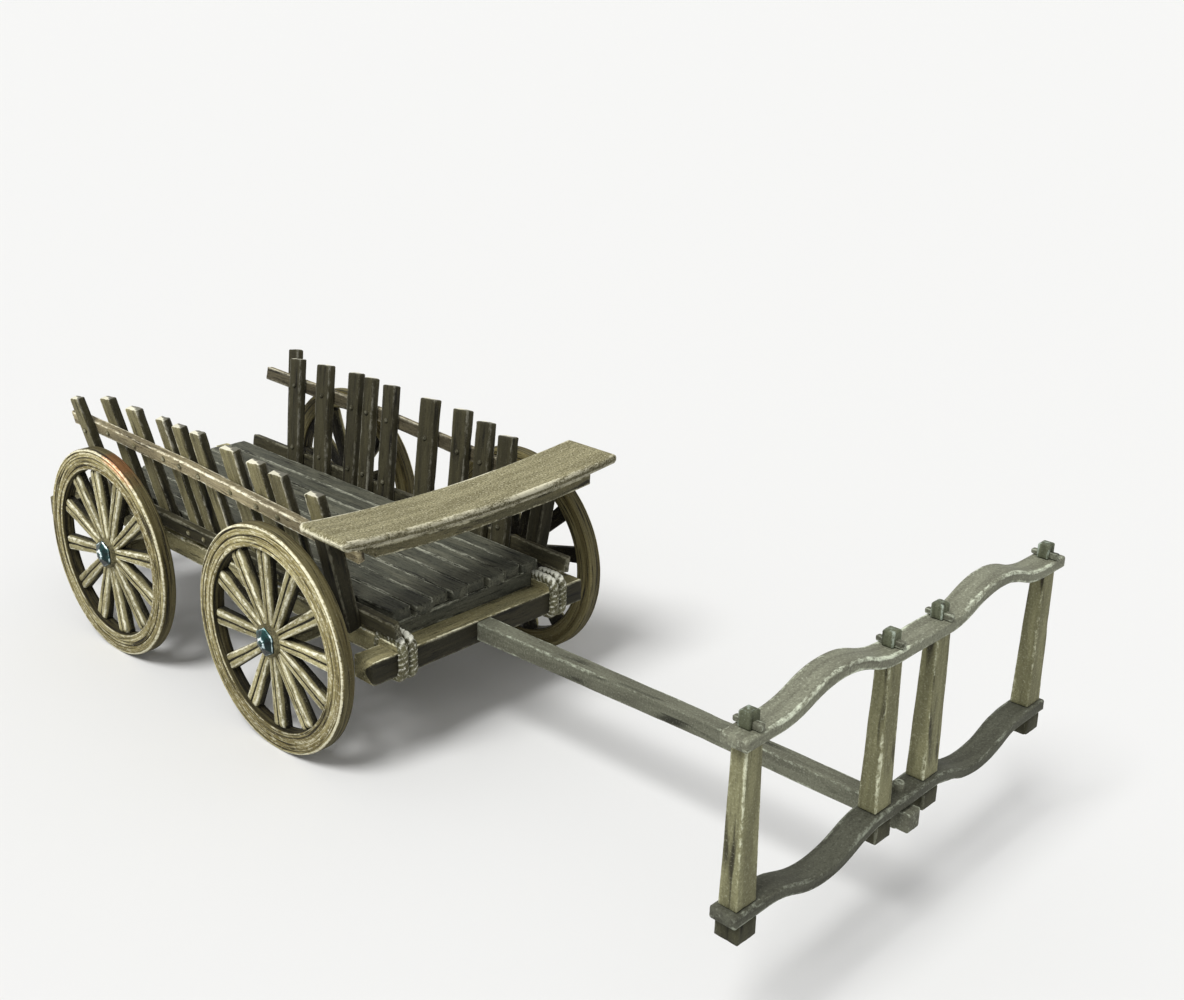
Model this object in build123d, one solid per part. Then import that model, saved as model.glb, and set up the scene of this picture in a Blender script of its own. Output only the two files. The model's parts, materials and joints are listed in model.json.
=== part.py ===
from build123d import *
from math import atan2, cos, radians, sin, tan
import os

os.makedirs("parts", exist_ok=True)

# Tabletop miniature of a four-wheeled ox wagon with a double yoke, in millimetres.
# +X is forward, +Y is the wagon's left, +Z is up and the ground is Z = 0.
# Every shape is drawn with the front axle on X = 0. CENTRE_SHIFT then puts the middle of the
# model's length on X = 0.

# Wheels
WHEEL_R = 11.0
WHEELBASE = 28.4
WHEEL_FACE_Y = 16.35
FELLOE_DEPTH = 2.15
FELLOE_WIDTH = 1.45
FACE_BAND = 0.6
BAND_SLOPE = 0.15
GROOVE_DEPTH = 0.14
SPOKE_COUNT = 12
SPOKE_SINK = 0.4
SPOKE_OVERRUN = 0.2
SPOKE_ROOT_WIDTH = 1.0
SPOKE_TIP_WIDTH = 1.6
SPOKE_BACK = 0.15
SPOKE_HEIGHT = 1.05
SPOKE_SHOULDER = 0.52
SPOKE_CREST_OUTER = 0.68
SPOKE_CREST_INNER = 0.2
SPOKE_VALLEY = 0.2
NAVE_R = 1.6
NAVE_BACK = 0.75
NAVE_FRONT = 0.15
CAP_SIDES = 6
CAP_R = 1.45
CAP_RISE = 0.65
CAP_RIM = 0.15
CAP_SLOPE = 62.0
WHEELS = (
    # end, side, turn of the spokes
    ("front", "right", 4.0),
    ("front", "left", 12.0),
    ("rear", "right", 9.5),
    ("rear", "left", 21.0),
)
PIN_R = 0.6
BORE_CLEARANCE = 0.05
SHOULDER_GAP = 0.2
PIN_END_GAP = 0.2

# Axle beams
AXLE_SECTION = 2.0

# Chassis rails and cross beams
RAIL_MID_Y = 9.5
RAIL_WIDTH = 1.8
RAIL_HEIGHT = 2.1
RAIL_BELOW_AXLE = 0.6
FRONT_OVERHANG = 11.2
REAR_OVERHANG = 18.0
BEAM_DEPTH = 2.8
BEAM_HEIGHT = 2.3
BEAM_DROP = 1.0
BEAM_REACH = 2.8
FRONT_BEAM_SETBACK = 1.3
REAR_BEAM_SETBACK = 1.8

# Deck
DECK_THICK = 1.1
DECK_SIDE_GAP = 0.05
DECK_REAR_SETBACK = 5.4
DECK_FRONT_SETBACK = 1.6
PLANK_GAP = 0.08
BEARER_DEPTH = 2.0
BEARER_HEIGHT = 0.9
REAR_BEARER_SETBACK = 1.6
HEADER_THICK = 0.9
HEADER_SETBACK = 0.6
HEADER_END_GAP = 0.05
PLANKS = (
    # rear_trim, front_trim
    (0.0, 0.5),
    (0.4, 0.0),
    (0.1, 0.6),
    (0.5, 0.2),
    (0.2, 0.5),
    (0.6, 0.1),
    (0.0, 0.4),
    (0.3, 0.2),
)

# Flared sides, drawn in a tilted plane: across runs forward from the deck's rear edge, up runs
# along the stakes from the deck's top, and out points away from the deck.
FLARE = 11.5
STAKE_INSET = 0.3
STAKE_THICK = 0.95
INNER_STAKE_FOOT = 3.0
OUTER_STAKE_FOOT = 1.8
SIDE_RAIL_THICK = 0.85
LOWER_RAIL_REAR = 0.4
LOWER_RAIL_NOSE = 0.6
LOWER_RAIL_BELOW = 0.95
LOWER_RAIL_ABOVE = 0.7
UPPER_RAIL_DEPTH = 1.5
UPPER_RAIL_REAR = 1.6
UPPER_RAIL_BEND = 23.0
UPPER_RAIL_REAR_TOP = 9.15
UPPER_RAIL_BEND_TOP = 8.8
UPPER_RAIL_FRONT_TOP = 7.4
UPPER_RAIL_UNDER_SEAT = 2.6
STAKES_RIGHT = (
    # across, width, height, rake, row
    (7.1, 1.8, 12.0, 9.0, "outer"),
    (9.8, 2.1, 11.9, 7.0, "inner"),
    (14.7, 2.4, 11.9, 6.0, "inner"),
    (20.1, 1.8, 12.1, 5.5, "inner"),
    (22.9, 1.8, 12.0, 5.0, "inner"),
    (26.1, 1.9, 12.1, 5.0, "inner"),
    (31.4, 2.6, 11.8, 5.0, "inner"),
    (35.5, 2.3, 11.5, 5.0, "inner"),
    (38.8, 2.3, 11.2, 5.0, "inner"),
    (44.0, 2.2, 10.6, 5.0, "inner"),
)
STAKES_LEFT = (
    # across, width, height, rake, row
    (6.9, 1.8, 12.1, 9.0, "outer"),
    (9.6, 2.1, 11.5, 8.0, "inner"),
    (14.6, 2.4, 11.8, 7.0, "inner"),
    (19.8, 2.0, 12.0, 5.5, "inner"),
    (22.4, 1.8, 12.0, 5.5, "inner"),
    (25.9, 2.1, 11.9, 6.0, "inner"),
    (32.1, 2.5, 11.8, 5.0, "inner"),
    (37.2, 2.3, 11.8, 5.0, "inner"),
    (40.7, 2.2, 11.3, 5.0, "inner"),
    (44.0, 2.2, 10.6, 5.0, "inner"),
)

# Seat
SEAT_SETBACK = 5.2
SEAT_DEPTH = 6.6
SEAT_LENGTH = 33.2
SEAT_THICK = 0.95
SEAT_HEIGHT = 9.9
SEAT_SAG = 0.9
SEAT_CHAMFER = 0.25
SEAT_BEARER_DEPTH = 4.8
SEAT_BEARER_SETBACK = 0.4
SEAT_BEARER_LENGTH = 26.4
SEAT_BEARER_THICK = 1.15
STRUT_DEPTH = 1.8
STRUT_BEHIND_SEAT = 0.8
STRUT_FOOT = 1.1
STRUT_FOOT_THICK = 1.5
STRUT_HEAD_THICK = 1.75

# Rope lashings round the front beam
ROPE_R = 0.5
ROPE_SIDES = 8
ROPE_TURN_GAP = 0.04
ROPE_STAND_OFF = 0.25
ROPE_CORNER = 0.5

# Draught pole
POLE_ROOT_SIZE = 1.9
POLE_TIP_SIZE = 1.5
POLE_ROOT_DROP = 0.5
POLE_NOSE = 0.5

# Double yoke
YOKE_X = 56.0
YOKE_BEAM_DEPTH = 2.2
YOKE_BEAM_THICK = 0.95
LOWER_BEAM_TOP = 13.1
YOKE_OPENING = 11.95
UPPER_BOW_RISE = 1.4
LOWER_BOW_DROP = 1.4
INNER_POST_Y = 3.2
OUTER_POST_Y = 19.2
YOKE_HORN = 1.5
BOW_SHOULDER = 1.8
POST_TOP_DEPTH = 1.25
POST_TOP_WIDTH = 1.75
POST_FOOT_DEPTH = 1.6
POST_FOOT_WIDTH = 2.1
TENON_DEPTH = 1.0
TENON_WIDTH = 1.1
TENON_RISE = 1.25
FOOT_BLOCK = 2.0
FOOT_BLOCK_DROP = 1.8
FOOT_BLOCK_CHAMFER = 0.35
KEY_LENGTH = 2.3
KEY_WIDE_HEIGHT = 0.6
KEY_NARROW_HEIGHT = 0.42
KEY_THICK = 0.5
KEY_LIFT = 0.05
YOKE_PIN_R = 0.45
YOKE_PIN_RISE = 0.7

# Places that follow from the sizes above
FELLOE_INNER_R = WHEEL_R - FELLOE_DEPTH
FELLOE_BACK_Y = WHEEL_FACE_Y - FELLOE_WIDTH
SHOULDER_Y = FELLOE_BACK_Y - NAVE_BACK - SHOULDER_GAP
BORE_R = PIN_R + BORE_CLEARANCE
REAR_AXLE_X = -WHEELBASE
RAIL_INNER_Y = RAIL_MID_Y - RAIL_WIDTH / 2
RAIL_OUTER_Y = RAIL_MID_Y + RAIL_WIDTH / 2
RAIL_BOTTOM = WHEEL_R - RAIL_BELOW_AXLE
RAIL_TOP = RAIL_BOTTOM + RAIL_HEIGHT
RAIL_FRONT_X = FRONT_OVERHANG
RAIL_REAR_X = REAR_AXLE_X - REAR_OVERHANG
BEAM_BOTTOM = RAIL_BOTTOM - BEAM_DROP
BEAM_TOP = BEAM_BOTTOM + BEAM_HEIGHT
BEAM_HALF_Y = RAIL_OUTER_Y + BEAM_REACH
FRONT_BEAM_X = RAIL_FRONT_X - FRONT_BEAM_SETBACK
REAR_BEAM_X = RAIL_REAR_X + REAR_BEAM_SETBACK
DECK_BOTTOM = RAIL_TOP + BEARER_HEIGHT
DECK_TOP = DECK_BOTTOM + DECK_THICK
DECK_REAR_X = RAIL_REAR_X + DECK_REAR_SETBACK
DECK_FRONT_X = RAIL_FRONT_X - DECK_FRONT_SETBACK
STAKE_FOOT_Y = RAIL_INNER_Y + STAKE_INSET
SIDE_Y_AT_DECK = STAKE_FOOT_Y + (DECK_TOP - RAIL_TOP) * tan(radians(FLARE))
DECK_HALF_Y = SIDE_Y_AT_DECK - DECK_THICK * tan(radians(FLARE)) - DECK_SIDE_GAP
BEARER_HALF_Y = STAKE_FOOT_Y - DECK_SIDE_GAP
BEARER_STATIONS = (DECK_REAR_X + REAR_BEARER_SETBACK, REAR_AXLE_X, REAR_AXLE_X / 2, 0)
ROPE_INNER_Y = RAIL_MID_Y - ROPE_TURN_GAP / 2 - 2 * ROPE_R
SIDE_RAIL_FACE = STAKE_THICK + SIDE_RAIL_THICK
SEAT_REAR_X = RAIL_FRONT_X - SEAT_SETBACK
SEAT_FRONT_X = SEAT_REAR_X + SEAT_DEPTH
SEAT_HALF_Y = SEAT_LENGTH / 2
SEAT_END_TOP = DECK_TOP + SEAT_HEIGHT
STRUT_REAR_X = SEAT_REAR_X - STRUT_BEHIND_SEAT
UPPER_BEAM_TOP = LOWER_BEAM_TOP + YOKE_OPENING + YOKE_BEAM_THICK
LOWER_BEAM_BOTTOM = LOWER_BEAM_TOP - YOKE_BEAM_THICK
YOKE_HALF_Y = OUTER_POST_Y + YOKE_HORN
BOW_OUTER_Y = OUTER_POST_Y - BOW_SHOULDER
BOW_CROWN_Y = (INNER_POST_Y + BOW_OUTER_Y) / 2
POLE_TIP_X = YOKE_X + YOKE_BEAM_DEPTH / 2 + POLE_NOSE
YOKE_POSTS = (
    # name, y
    ("right_outer", -OUTER_POST_Y),
    ("right_inner", -INNER_POST_Y),
    ("left_inner", INNER_POST_Y),
    ("left_outer", OUTER_POST_Y),
)
CENTRE_SHIFT = -(POLE_TIP_X + RAIL_REAR_X) / 2


def save(shape, name):
    export_step(Pos(CENTRE_SHIFT, 0, 0) * shape, f"parts/{name}.step")


def block(x0, x1, y0, y1, z0, z1):
    size = Box(x1 - x0, y1 - y0, z1 - z0)
    return Pos((x0 + x1) / 2, (y0 + y1) / 2, (z0 + z1) / 2) * size


def joined(solids):
    return Compound(children=list(solids))


def on_side(solid, side):
    # Side pieces are drawn on the wagon's right, and the left ones are their mirror image.
    return mirror(solid, about=Plane.XZ) if side == "left" else solid


# Wheel pieces are drawn round a +Z axis, with the felloe's inner face on Z = 0.


def felloe():
    # The face has a worn outer band that slopes to the tread, then a groove whose floor rises to
    # the inner edge.
    top = FELLOE_WIDTH
    band_r = WHEEL_R - FACE_BAND
    points = [
        (FELLOE_INNER_R, 0),
        (WHEEL_R, 0),
        (WHEEL_R, top - BAND_SLOPE),
        (band_r, top),
        (band_r, top - GROOVE_DEPTH),
        (FELLOE_INNER_R, top),
    ]
    section = Plane.XZ * make_face(Polyline(*points, close=True))
    return revolve(section, Axis.Z)


def spoke_section(radius, width):
    # Two broad ridges with a carved line between them, over a flat back.
    crown = SPOKE_BACK + SPOKE_HEIGHT
    shoulder = SPOKE_BACK + SPOKE_SHOULDER
    half = width / 2
    outer = half * SPOKE_CREST_OUTER
    inner = half * SPOKE_CREST_INNER
    points = [
        (-half, SPOKE_BACK),
        (-half, shoulder),
        (-outer, crown),
        (-inner, crown),
        (0, crown - SPOKE_VALLEY),
        (inner, crown),
        (outer, crown),
        (half, shoulder),
        (half, SPOKE_BACK),
    ]
    plane = Plane(origin=(radius, 0, 0), x_dir=(0, 1, 0), z_dir=(1, 0, 0))
    return plane * make_face(Polyline(*points, close=True))


def spider():
    root = spoke_section(NAVE_R - SPOKE_SINK, SPOKE_ROOT_WIDTH)
    tip = spoke_section(FELLOE_INNER_R + SPOKE_OVERRUN, SPOKE_TIP_WIDTH)
    spoke = loft([root, tip], ruled=True) & Cylinder(FELLOE_INNER_R, 4 * FELLOE_WIDTH)
    length = NAVE_BACK + FELLOE_WIDTH + NAVE_FRONT
    middle = Pos(0, 0, length / 2 - NAVE_BACK)
    body = middle * Cylinder(NAVE_R, length)
    for index in range(SPOKE_COUNT):
        body += Rot(0, 0, index * 360 / SPOKE_COUNT) * spoke
    return body - middle * Cylinder(BORE_R, length)


def hub_cap():
    # A six-sided peak with a blunt tip, over a short rim. One corner points straight up.
    outline = RegularPolygon(CAP_R, CAP_SIDES, rotation=180 / CAP_SIDES)
    foot = Pos(0, 0, FELLOE_WIDTH + NAVE_FRONT) * outline
    peak = extrude(Pos(0, 0, CAP_RIM) * foot, CAP_RISE - CAP_RIM, taper=CAP_SLOPE)
    return extrude(foot, CAP_RIM) + peak


def wheel_place(x, side, turn):
    # turn runs from +X towards +Z on both sides.
    if side == "left":
        return Pos(x, FELLOE_BACK_Y, WHEEL_R) * Rot(-90, 0, 0) * Rot(0, 0, -turn)
    return Pos(x, -FELLOE_BACK_Y, WHEEL_R) * Rot(90, 0, 0) * Rot(0, 0, turn)


def axle(x):
    half = AXLE_SECTION / 2
    beam = block(x - half, x + half, -SHOULDER_Y, SHOULDER_Y, WHEEL_R - half, WHEEL_R + half)
    pin_end = WHEEL_FACE_Y + NAVE_FRONT - PIN_END_GAP
    pins = Pos(x, 0, WHEEL_R) * Rot(90, 0, 0) * Cylinder(PIN_R, 2 * pin_end)
    return beam + pins


def cross_beam(x):
    half = BEAM_DEPTH / 2
    return block(x - half, x + half, -BEAM_HALF_Y, BEAM_HALF_Y, BEAM_BOTTOM, BEAM_TOP)


def chassis_rail():
    return block(RAIL_REAR_X, RAIL_FRONT_X, -RAIL_OUTER_Y, -RAIL_INNER_Y, RAIL_BOTTOM, RAIL_TOP)


def rope_turn(y):
    width = BEAM_DEPTH + 2 * ROPE_STAND_OFF
    low = BEAM_BOTTOM - ROPE_STAND_OFF
    high = RAIL_TOP + ROPE_STAND_OFF
    loop = Rectangle(width, high - low)
    loop = chamfer(loop.vertices(), ROPE_CORNER)
    plane = Plane(origin=(FRONT_BEAM_X, y, (high + low) / 2), x_dir=(1, 0, 0), z_dir=(0, 1, 0))
    path = (plane * loop).wires()[0]
    section = Plane(origin=path @ 0, z_dir=path % 0) * RegularPolygon(ROPE_R, ROPE_SIDES)
    return sweep(section, path=path, transition=Transition.RIGHT)


def deck_bearer(x):
    half = BEARER_DEPTH / 2
    return block(x - half, x + half, -BEARER_HALF_Y, BEARER_HALF_Y, RAIL_TOP, DECK_BOTTOM)


def header_board():
    front = DECK_FRONT_X - HEADER_SETBACK
    half_y = ROPE_INNER_Y - HEADER_END_GAP
    return block(front - HEADER_THICK, front, -half_y, half_y, BEAM_TOP, DECK_BOTTOM)


def deck_plank(index, rear_trim, front_trim):
    pitch = 2 * DECK_HALF_Y / len(PLANKS)
    low_y = -DECK_HALF_Y + index * pitch + PLANK_GAP / 2
    high_y = low_y + pitch - PLANK_GAP
    rear = DECK_REAR_X + rear_trim
    front = DECK_FRONT_X - front_trim
    return block(rear, front, low_y, high_y, DECK_BOTTOM, DECK_TOP)


def side_plane():
    tilt = radians(FLARE)
    origin = (DECK_REAR_X, -SIDE_Y_AT_DECK, DECK_TOP)
    return Plane(origin=origin, x_dir=(1, 0, 0), z_dir=(0, -cos(tilt), -sin(tilt)))


def stake(across, width, height, rake, row):
    out = 0 if row == "inner" else SIDE_RAIL_FACE
    foot = INNER_STAKE_FOOT if row == "inner" else OUTER_STAKE_FOOT
    body = Pos(0, (height - foot) / 2, STAKE_THICK / 2) * Box(width, height + foot, STAKE_THICK)
    below_rail_top = block(RAIL_REAR_X, RAIL_FRONT_X, -BEAM_HALF_Y, 0, 0, RAIL_TOP)
    return side_plane() * Pos(across, 0, out) * Rot(0, 0, rake) * body - below_rail_top


def lower_side_rail():
    rear = LOWER_RAIL_REAR
    front = RAIL_FRONT_X + LOWER_RAIL_NOSE - DECK_REAR_X
    middle = Pos(
        (front + rear) / 2,
        (LOWER_RAIL_ABOVE - LOWER_RAIL_BELOW) / 2,
        STAKE_THICK + SIDE_RAIL_THICK / 2,
    )
    board = Box(front - rear, LOWER_RAIL_ABOVE + LOWER_RAIL_BELOW, SIDE_RAIL_THICK)
    return side_plane() * middle * board


def upper_side_rail():
    top = [
        (UPPER_RAIL_REAR, UPPER_RAIL_REAR_TOP),
        (UPPER_RAIL_BEND, UPPER_RAIL_BEND_TOP),
        (SEAT_REAR_X + UPPER_RAIL_UNDER_SEAT - DECK_REAR_X, UPPER_RAIL_FRONT_TOP),
    ]
    low = [(across, edge - UPPER_RAIL_DEPTH) for across, edge in reversed(top)]
    face = make_face(Polyline(*(top + low), close=True))
    return side_plane() * Pos(0, 0, STAKE_THICK) * extrude(face, SIDE_RAIL_THICK)


def sagging_board(x0, x1, end_top, thick):
    # Both faces follow the seat's sag over the seat's whole length.
    points = ((-SEAT_HALF_Y, end_top), (0, end_top - SEAT_SAG), (SEAT_HALF_Y, end_top))
    top = ThreePointArc(*points)
    low = ThreePointArc(*[(y, z - thick) for y, z in points])
    ends = [Line((y, end_top - thick), (y, end_top)) for y in (-SEAT_HALF_Y, SEAT_HALF_Y)]
    section = Plane.YZ * make_face(Curve() + [top, low] + ends)
    return Pos(x0, 0, 0) * extrude(section, x1 - x0)


def seat_board():
    board = sagging_board(SEAT_REAR_X, SEAT_FRONT_X, SEAT_END_TOP, SEAT_THICK)
    long_edges = board.edges().filter_by(GeomType.CIRCLE)
    return chamfer(long_edges, SEAT_CHAMFER)


def seat_bearer():
    front = SEAT_FRONT_X - SEAT_BEARER_SETBACK
    rear = front - SEAT_BEARER_DEPTH
    half_y = SEAT_BEARER_LENGTH / 2
    board = sagging_board(rear, front, SEAT_END_TOP - SEAT_THICK, SEAT_BEARER_THICK)
    return board & block(rear, front, -half_y, half_y, 0, SEAT_END_TOP)


def seat_strut(seat):
    # A post nailed on the outside of both side rails, cut to the seat's underside.
    section = [
        (-STRUT_FOOT, SIDE_RAIL_FACE),
        (-STRUT_FOOT, SIDE_RAIL_FACE + STRUT_FOOT_THICK),
        (SEAT_HEIGHT, SIDE_RAIL_FACE + STRUT_HEAD_THICK),
        (SEAT_HEIGHT, SIDE_RAIL_FACE),
    ]
    face = Plane.YZ * make_face(Polyline(*section, close=True))
    rear = STRUT_REAR_X - DECK_REAR_X
    strut = side_plane() * Pos(rear, 0, 0) * extrude(face, STRUT_DEPTH)
    above = sagging_board(
        STRUT_REAR_X, STRUT_REAR_X + STRUT_DEPTH, SEAT_END_TOP + SEAT_HEIGHT, SEAT_THICK + SEAT_HEIGHT
    )
    return strut - above - seat


def pole():
    root_x = AXLE_SECTION / 2
    root_z = WHEEL_R - POLE_ROOT_DROP
    tip_z = LOWER_BEAM_BOTTOM - POLE_TIP_SIZE / 2
    root = Plane(origin=(root_x, 0, root_z), x_dir=(0, 1, 0), z_dir=(1, 0, 0))
    tip = Plane(origin=(YOKE_X, 0, tip_z), x_dir=(0, 1, 0), z_dir=(1, 0, 0))
    root_face = root * Rectangle(POLE_ROOT_SIZE, POLE_ROOT_SIZE)
    tip_face = tip * Rectangle(POLE_TIP_SIZE, POLE_TIP_SIZE)
    return loft([root_face, tip_face]) + extrude(tip_face, POLE_TIP_X - YOKE_X)


def half_bow(start, end):
    # Two equal arcs that leave start level and reach end level.
    middle = ((start[0] + end[0]) / 2, (start[1] + end[1]) / 2)
    run = abs(middle[0] - start[0])
    climb = abs(middle[1] - start[1])
    radius = (run * run + climb * climb) / (2 * climb)
    half_turn = atan2(run, radius - climb) / 2
    direction = 1 if end[0] > start[0] else -1
    lift = 1 if end[1] > start[1] else -1
    reach = radius * sin(half_turn)
    rise = radius * (1 - cos(half_turn))
    near_start = (start[0] + direction * reach, start[1] + lift * rise)
    near_end = (end[0] - direction * reach, end[1] - lift * rise)
    return [ThreePointArc(start, near_start, middle), ThreePointArc(middle, near_end, end)]


def bow_edge(level, rise):
    edges = [Line((-YOKE_HALF_Y, level), (-BOW_OUTER_Y, level))]
    edges += half_bow((-BOW_OUTER_Y, level), (-BOW_CROWN_Y, level + rise))
    edges += half_bow((-BOW_CROWN_Y, level + rise), (-INNER_POST_Y, level))
    edges.append(Line((-INNER_POST_Y, level), (INNER_POST_Y, level)))
    edges += half_bow((INNER_POST_Y, level), (BOW_CROWN_Y, level + rise))
    edges += half_bow((BOW_CROWN_Y, level + rise), (BOW_OUTER_Y, level))
    edges.append(Line((BOW_OUTER_Y, level), (YOKE_HALF_Y, level)))
    return edges


def yoke_beam(top, rise):
    low = top - YOKE_BEAM_THICK
    edges = bow_edge(top, rise) + bow_edge(low, rise)
    edges += [Line((y, low), (y, top)) for y in (-YOKE_HALF_Y, YOKE_HALF_Y)]
    section = Plane.YZ * make_face(Curve() + edges)
    return Pos(YOKE_X - YOKE_BEAM_DEPTH / 2, 0, 0) * extrude(section, YOKE_BEAM_DEPTH)


def yoke_post(y):
    foot_face = Pos(YOKE_X, y, LOWER_BEAM_TOP) * Rectangle(POST_FOOT_DEPTH, POST_FOOT_WIDTH)
    top_z = UPPER_BEAM_TOP - YOKE_BEAM_THICK
    top_face = Pos(YOKE_X, y, top_z) * Rectangle(POST_TOP_DEPTH, POST_TOP_WIDTH)
    half = FOOT_BLOCK / 2
    block_low = LOWER_BEAM_BOTTOM - FOOT_BLOCK_DROP
    foot = block(YOKE_X - half, YOKE_X + half, y - half, y + half, block_low, LOWER_BEAM_BOTTOM)
    foot = chamfer(foot.edges().group_by(Axis.Z)[0], FOOT_BLOCK_CHAMFER)
    tenon_low = LOWER_BEAM_BOTTOM - FOOT_BLOCK_DROP / 2
    tenon_top = UPPER_BEAM_TOP + TENON_RISE
    tenon = Box(TENON_DEPTH, TENON_WIDTH, tenon_top - tenon_low)
    return loft([foot_face, top_face]) + foot + Pos(YOKE_X, y, (tenon_low + tenon_top) / 2) * tenon


def yoke_key(y):
    low = UPPER_BEAM_TOP + KEY_LIFT
    rear = YOKE_X - KEY_LENGTH / 2
    front = YOKE_X + KEY_LENGTH / 2
    points = [
        (rear, low),
        (front, low),
        (front, low + KEY_WIDE_HEIGHT),
        (rear, low + KEY_NARROW_HEIGHT),
    ]
    face = Plane.XZ * make_face(Polyline(*points, close=True))
    return Pos(0, y + KEY_THICK / 2, 0) * extrude(face, KEY_THICK)


def yoke_pin():
    low = LOWER_BEAM_BOTTOM - POLE_TIP_SIZE - YOKE_PIN_RISE
    high = LOWER_BEAM_TOP + YOKE_PIN_RISE
    return Pos(YOKE_X, 0, (low + high) / 2) * Cylinder(YOKE_PIN_R, high - low)


# Wheels
felloe_shape = felloe()
spider_shape = spider()
cap_shape = hub_cap()
for end_name, side, turn in WHEELS:
    axle_x = 0 if end_name == "front" else REAR_AXLE_X
    save(wheel_place(axle_x, side, 0) * felloe_shape, f"{end_name}_{side}_felloe")
    save(wheel_place(axle_x, side, turn) * spider_shape, f"{end_name}_{side}_spokes")
    save(wheel_place(axle_x, side, 0) * cap_shape, f"{end_name}_{side}_hub_cap")

# Undercarriage: the rails are notched over the axles and halved into the cross beams.
front_axle = axle(0)
rear_axle = axle(REAR_AXLE_X)
right_rail = chassis_rail() - front_axle - rear_axle
rails = {side: on_side(right_rail, side) for side in ("right", "left")}
pole_shape = pole()
whole_front_beam = cross_beam(FRONT_BEAM_X)
front_beam = whole_front_beam - rails["right"] - rails["left"] - pole_shape
rear_beam = cross_beam(REAR_BEAM_X) - rails["right"] - rails["left"]
rope_offset = ROPE_R + ROPE_TURN_GAP / 2
turns = [rope_turn(-(RAIL_MID_Y + shift)) for shift in (-rope_offset, rope_offset)]
turns = [turn - whole_front_beam - rails["right"] for turn in turns]
save(front_axle, "front_axle")
save(rear_axle, "rear_axle")
save(front_beam, "front_cross_beam")
save(rear_beam, "rear_cross_beam")
for side in ("right", "left"):
    save(rails[side], f"{side}_chassis_rail")
    save(joined([on_side(turn, side) for turn in turns]), f"{side}_rope_lashing")

# Deck
save(joined([deck_bearer(x) for x in BEARER_STATIONS]), "deck_bearers")
save(header_board(), "header_board")
planks = [deck_plank(index, *trims) for index, trims in enumerate(PLANKS)]
save(joined(planks), "deck_planks")

# Sides and seat
seat = seat_board()
save(seat, "seat_board")
save(seat_bearer(), "seat_bearer")
for side, table in (("right", STAKES_RIGHT), ("left", STAKES_LEFT)):
    save(joined([on_side(stake(*row), side) for row in table]), f"{side}_stakes")
    save(on_side(lower_side_rail(), side), f"{side}_lower_side_rail")
    save(on_side(upper_side_rail(), side), f"{side}_upper_side_rail")
    save(on_side(seat_strut(seat), side), f"{side}_seat_strut")

# Yoke and pole
pin = yoke_pin()
upper_beam = yoke_beam(UPPER_BEAM_TOP, UPPER_BOW_RISE)
lower_beam = yoke_beam(LOWER_BEAM_TOP, -LOWER_BOW_DROP) - pin
for name, y in YOKE_POSTS:
    post = yoke_post(y)
    key = yoke_key(y)
    upper_beam -= post
    lower_beam -= post
    save(post - key, f"{name}_yoke_post")
    save(key, f"{name}_yoke_key")
save(upper_beam, "yoke_upper_beam")
save(lower_beam, "yoke_lower_beam")
save(pole_shape - pin, "draught_pole")
save(pin, "yoke_pin")
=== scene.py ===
import json
import math

import bmesh
import bpy
from mathutils import Matrix, Vector, noise
from mathutils.bvhtree import BVHTree


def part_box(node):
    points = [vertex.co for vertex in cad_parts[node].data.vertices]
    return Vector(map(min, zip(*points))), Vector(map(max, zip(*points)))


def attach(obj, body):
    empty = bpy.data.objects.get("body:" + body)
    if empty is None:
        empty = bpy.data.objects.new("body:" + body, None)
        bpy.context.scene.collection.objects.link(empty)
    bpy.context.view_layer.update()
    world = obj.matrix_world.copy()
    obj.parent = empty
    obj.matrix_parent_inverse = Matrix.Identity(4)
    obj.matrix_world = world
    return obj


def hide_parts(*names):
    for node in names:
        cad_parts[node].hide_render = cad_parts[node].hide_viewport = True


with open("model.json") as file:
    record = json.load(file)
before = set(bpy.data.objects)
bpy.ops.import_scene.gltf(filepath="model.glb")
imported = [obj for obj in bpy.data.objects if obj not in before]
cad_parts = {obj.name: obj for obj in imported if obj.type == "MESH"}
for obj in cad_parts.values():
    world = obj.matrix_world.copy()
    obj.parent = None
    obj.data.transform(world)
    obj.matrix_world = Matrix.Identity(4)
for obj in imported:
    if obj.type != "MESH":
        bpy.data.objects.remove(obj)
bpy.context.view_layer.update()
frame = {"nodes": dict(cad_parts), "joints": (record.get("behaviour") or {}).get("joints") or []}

# Painted tabletop miniature of an ox wagon. Lengths in this script are millimetres, and MM turns
# them into metres. Places and sizes of timbers are read from the frame.
MM = 0.001
SIDES = ("right", "left")
POSTS = ("right_outer", "right_inner", "left_inner", "left_outer")
CORNERS = ("front_left", "front_right", "rear_left", "rear_right")
UP = Vector((0, 0, 1))
FORWARD = Vector((1, 0, 0))
LEFT = Vector((0, 1, 0))

# Casts into the frame's solids, and the cuts made across a bent or tapered timber
CAST_REACH = 60
NEAR_REACH = 8
SAME_WAY = 0.99
SQUARE_TO = 0.3
PLACE_DIGITS = 3
BESIDE_MIDDLE = 0.85
BESIDE_TENON = 0.8
SLICE_INSET = 0.3
RAIL_SLICES = 24
STRUT_SLICES = 8
BOWED_SLICES = 80
POLE_SLICES = 30
KEY_SLICES = 4

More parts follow.
